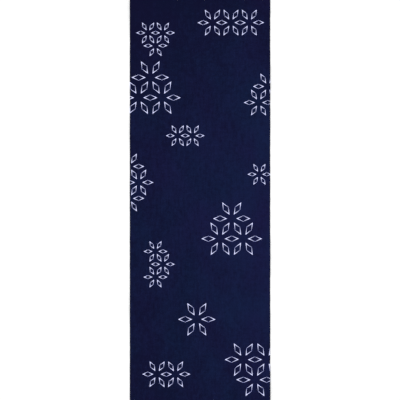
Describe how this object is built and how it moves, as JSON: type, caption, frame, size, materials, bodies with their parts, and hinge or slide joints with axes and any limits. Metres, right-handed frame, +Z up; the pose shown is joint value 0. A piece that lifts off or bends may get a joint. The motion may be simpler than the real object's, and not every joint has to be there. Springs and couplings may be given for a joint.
{
  "type": "tenugui towel",
  "caption": "Narrow rectangular plain-weave cotton towel with raw cut ends, dyed indigo with a white line pattern, laid out flat.",
  "frame": {"origin": "on the surface that the towel lies on, under the middle of the cloth", "axes": "+Y along the towel's length, towards its upper end in the picture; +X across its width, to the right in the picture; +Z up from the surface, out of the face"},
  "size_m": [0.35, 1, 0.0052],
  "materials": {
    "dyed_cotton": "matt plain-weave cotton, dyed indigo, with a fine pattern of white lines"
  },
  "bodies": {
    "root": {"cloth": "dyed_cotton"}
  },
  "joints": []
}
